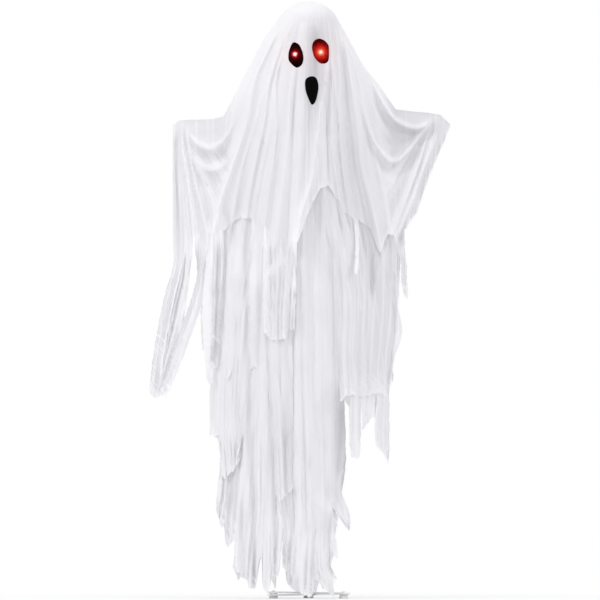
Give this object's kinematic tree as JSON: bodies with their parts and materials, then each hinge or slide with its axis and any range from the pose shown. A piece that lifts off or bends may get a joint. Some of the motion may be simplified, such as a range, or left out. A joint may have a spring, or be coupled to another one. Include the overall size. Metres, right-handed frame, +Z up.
{
  "type": "animated standing ghost",
  "caption": "Life-size standing ghost prop: white gauze sheet and ragged gown over a pole stand, with a turning head, lit eyes and folding arms.",
  "frame": {"origin": "on the floor, under the middle of the pole, at the bottom of the centre foot", "axes": "+Z up along the pole, -Y the way the ghost faces, +X towards the right hand side seen from the front"},
  "size_m": [0.9186, 0.3616, 1.8026],
  "materials": {
    "powder_coat": "satin white powder coat",
    "bright_steel": "zinc plated, satin",
    "foot_rubber": "matt pale grey rubber",
    "black_plastic": "fine moulded grain",
    "white_plastic": "blow moulded, matt",
    "gear_nylon": "natural nylon",
    "motor_case": "plated can",
    "circuit_green": "solder mask",
    "cell_can": "printed sleeve, plain",
    "smoked_lens": "smoked, glossy",
    "red_button": "glossy",
    "red_lamp": "clear red lamp, lit",
    "wire_cover": "soft sleeve",
    "sheet_gauze": "thin white polyester gauze, torn edges",
    "gown_gauze": "thin white polyester gauze, torn edges",
    "eye_mesh": "black open mesh, red light behind it",
    "mouth_felt": "black felt"
  },
  "bodies": {
    "stand": {"base_bar_upper": "powder_coat", "foot_back_left": "foot_rubber", "foot_front_right": "foot_rubber", "pivot_bolt": "powder_coat", "pivot_nut": "bright_steel", "pole_socket": "powder_coat", "pole_lower": "powder_coat", "pole_middle": "powder_coat", "pole_upper": "powder_coat", "drive_box_front": "black_plastic", "drive_box_back": "black_plastic", "box_screw_left": "bright_steel", "box_screw_right": "bright_steel", "bar_clamp": "black_plastic", "neck_motor": "motor_case", "neck_bush": "gear_nylon", "battery_1": "cell_can", "battery_2": "cell_can", "battery_3": "cell_can", "circuit_board": "circuit_green", "sensor_lens": "smoked_lens", "speaker": "motor_case", "shoulder_bar": "bright_steel", "hinge_bolt_left": "bright_steel", "hinge_bolt_right": "bright_steel", "cape": "sheet_gauze", "gown_front": "gown_gauze", "gown_back": "gown_gauze"},
    "base_lower": {"base_bar_lower": "powder_coat", "foot_front_left": "foot_rubber", "foot_back_right": "foot_rubber"},
    "head": {"head_shell_front": "white_plastic", "head_shell_back": "white_plastic", "neck_collar": "white_plastic", "neck_shaft": "bright_steel", "neck_gear": "gear_nylon", "eye_led_left": "red_lamp", "eye_led_right": "red_lamp", "eye_wire": "wire_cover", "hood": "sheet_gauze", "eye_patch_left": "eye_mesh", "eye_patch_right": "eye_mesh", "mouth_patch": "mouth_felt"},
    "pinion": {"motor_pinion": "gear_nylon"},
    "arm_left": {"arm_tube_left": "bright_steel", "hand_left": "white_plastic", "sleeve_left": "sheet_gauze"},
    "arm_right": {"arm_tube_right": "bright_steel", "hand_right": "white_plastic", "sleeve_right": "sheet_gauze"},
    "wing_nut_left": {"wing_nut_left": "bright_steel"},
    "wing_nut_right": {"wing_nut_right": "bright_steel"},
    "thumb_screw": {"socket_thumb_screw": "black_plastic"},
    "snap_button_lower": {"snap_button_lower": "bright_steel"},
    "snap_button_upper": {"snap_button_upper": "bright_steel"},
    "battery_door": {"battery_door": "black_plastic"},
    "mode_switch": {"mode_switch": "white_plastic"},
    "try_button": {"try_button": "red_button"}
  },
  "joints": [
    {"name": "neck_turn", "type": "hinge", "parent": "stand", "child": "head", "pos_m": [0, 0, 1.385], "axis": [0, 0, 1], "range_deg": [-25, 25]},
    {"name": "pinion_spin", "type": "hinge", "parent": "stand", "child": "pinion", "pos_m": [0.036, 0, 1.391], "axis": [0, 0, 1], "range_deg": [-75, 75]},
    {"name": "arm_left_swing", "type": "hinge", "parent": "stand", "child": "arm_left", "pos_m": [-0.19, 0.025, 1.432], "axis": [0, 0, 1], "range_deg": [-10, 22]},
    {"name": "arm_right_swing", "type": "hinge", "parent": "stand", "child": "arm_right", "pos_m": [0.19, 0.025, 1.432], "axis": [0, 0, -1], "range_deg": [-10, 22]},
    {"name": "base_fold", "type": "hinge", "parent": "stand", "child": "base_lower", "pos_m": [0, 0, 0.0105], "axis": [0, 0, 1], "range_deg": [-74, 0]},
    {"name": "wing_nut_left_turn", "type": "hinge", "parent": "stand", "child": "wing_nut_left", "pos_m": [-0.19, 0.025, 1.423], "axis": [0, 0, 1], "range_deg": [0, 720]},
    {"name": "wing_nut_right_turn", "type": "hinge", "parent": "stand", "child": "wing_nut_right", "pos_m": [0.19, 0.025, 1.423], "axis": [0, 0, 1], "range_deg": [0, 720]},
    {"name": "thumb_screw_turn", "type": "hinge", "parent": "stand", "child": "thumb_screw", "pos_m": [0, -0.02, 0.0734], "axis": [0, 1, 0], "range_deg": [0, 720]},
    {"name": "snap_button_lower_press", "type": "slide", "parent": "stand", "child": "snap_button_lower", "axis": [0, -1, 0], "range_m": [0, 0.0022], "stiffness_N_per_m": 600, "springref_m": -0.001},
    {"name": "snap_button_upper_press", "type": "slide", "parent": "stand", "child": "snap_button_upper", "axis": [0, -1, 0], "range_m": [0, 0.0022], "stiffness_N_per_m": 600, "springref_m": -0.001},
    {"name": "battery_door_slide", "type": "slide", "parent": "stand", "child": "battery_door", "axis": [0, 0, -1], "range_m": [0, 0.058]},
    {"name": "mode_switch_slide", "type": "slide", "parent": "stand", "child": "mode_switch", "axis": [0, 0, 1], "range_m": [-0.004, 0.004]},
    {"name": "try_button_press", "type": "slide", "parent": "stand", "child": "try_button", "axis": [-1, 0, 0], "range_m": [0, 0.002], "stiffness_N_per_m": 400, "springref_m": -0.001}
  ],
  "couplings": [
    {"joint": "pinion_spin", "follows": "neck_turn", "ratio": -3}
  ]
}
